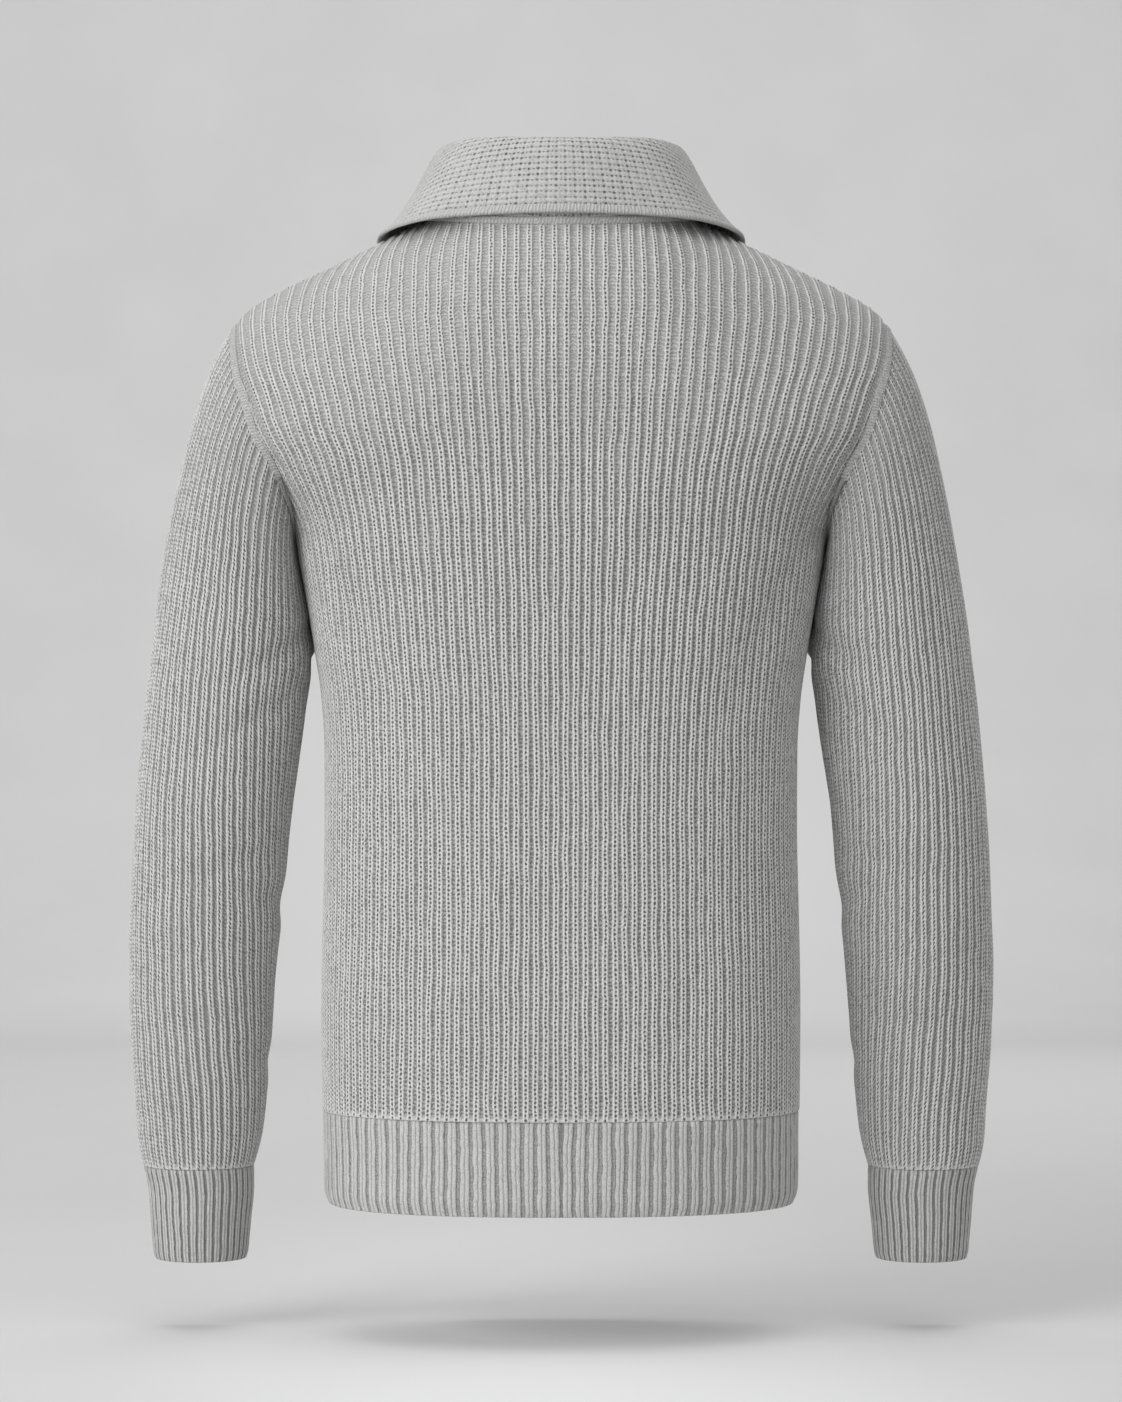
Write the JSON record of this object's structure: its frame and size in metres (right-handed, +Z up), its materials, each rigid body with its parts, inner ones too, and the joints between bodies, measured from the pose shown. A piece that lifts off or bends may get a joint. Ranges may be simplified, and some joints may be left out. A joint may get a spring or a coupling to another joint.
{
  "type": "quarter-zip sweater",
  "caption": "Ribbed knit quarter-zip sweater, filled out and hollow, with a turned-down collar, set-in sleeves, rib cuffs and a rib hem.",
  "frame": {"origin": "middle of the neck, level with the top of the shoulders, where the wearer holds the garment up", "axes": "+Z up, the front faces -Y, the wearer's left sleeve is at +X"},
  "size_m": [0.5894, 0.2347, 0.757],
  "materials": {
    "body_knit": "ribbed wool knit, matt, light grey",
    "rib_band": "rib knit, matt, light grey",
    "collar_knit": "waffle knit with a knitted edge, matt, light grey",
    "zip_tape": "woven tape, matt, grey",
    "zip_metal": "satin nickel"
  },
  "bodies": {
    "garment": {"back_panel": "body_knit", "front_panel": "body_knit", "sleeve_left": "body_knit", "sleeve_right": "body_knit", "cuff_left": "rib_band", "cuff_right": "rib_band", "hem_band": "rib_band", "collar": "collar_knit", "zip_tape_left": "zip_tape", "zip_tape_right": "zip_tape", "zip_slider": "zip_metal", "zip_bottom_stop": "zip_metal", "zip_top_stop_left": "zip_metal", "zip_top_stop_right": "zip_metal"},
    "pull_tab": {"zip_pull_tab": "zip_metal"}
  },
  "joints": [
    {"name": "pull_tab_swing", "type": "hinge", "parent": "garment", "child": "pull_tab", "pos_m": [0, -0.11355, -0.15581], "axis": [-1, 0, 0], "range_deg": [0, 150]}
  ]
}
